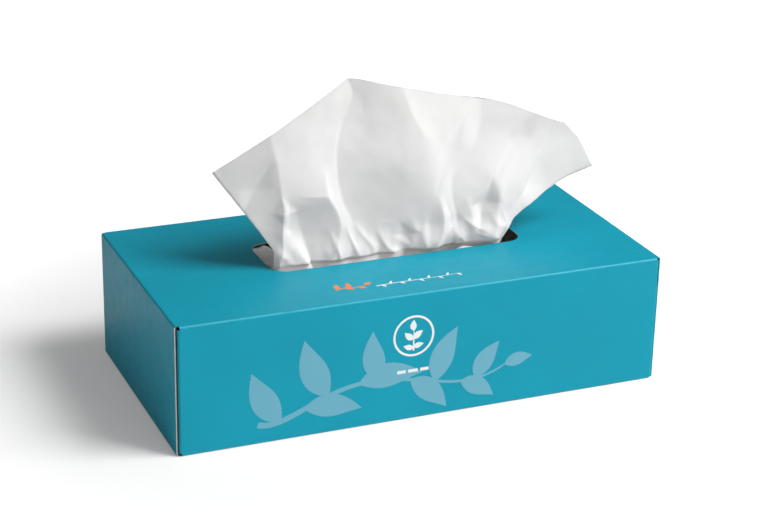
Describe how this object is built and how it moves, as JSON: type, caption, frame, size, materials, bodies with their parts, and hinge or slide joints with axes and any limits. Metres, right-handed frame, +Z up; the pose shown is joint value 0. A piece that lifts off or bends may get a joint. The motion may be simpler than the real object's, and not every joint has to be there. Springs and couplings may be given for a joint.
{
  "type": "tissue box",
  "caption": "Flat rectangular board carton of interfolded facial tissues, with a rounded slot in the top and one crumpled tissue standing up out of it.",
  "frame": {"origin": "centre of the carton's underside, on the surface it stands on", "axes": "+X along the carton's length, the front face towards -Y, +Z up"},
  "size_m": [0.23, 0.116, 0.1415],
  "materials": {
    "printed_board": "satin printed folding board, pale cut edges",
    "tissue_paper": "soft matt two-ply tissue, crumpled"
  },
  "bodies": {
    "root": {"carton": "printed_board", "tissue_pile": "tissue_paper", "next_tissue": "tissue_paper", "raised_tissue": "tissue_paper"}
  },
  "joints": []
}
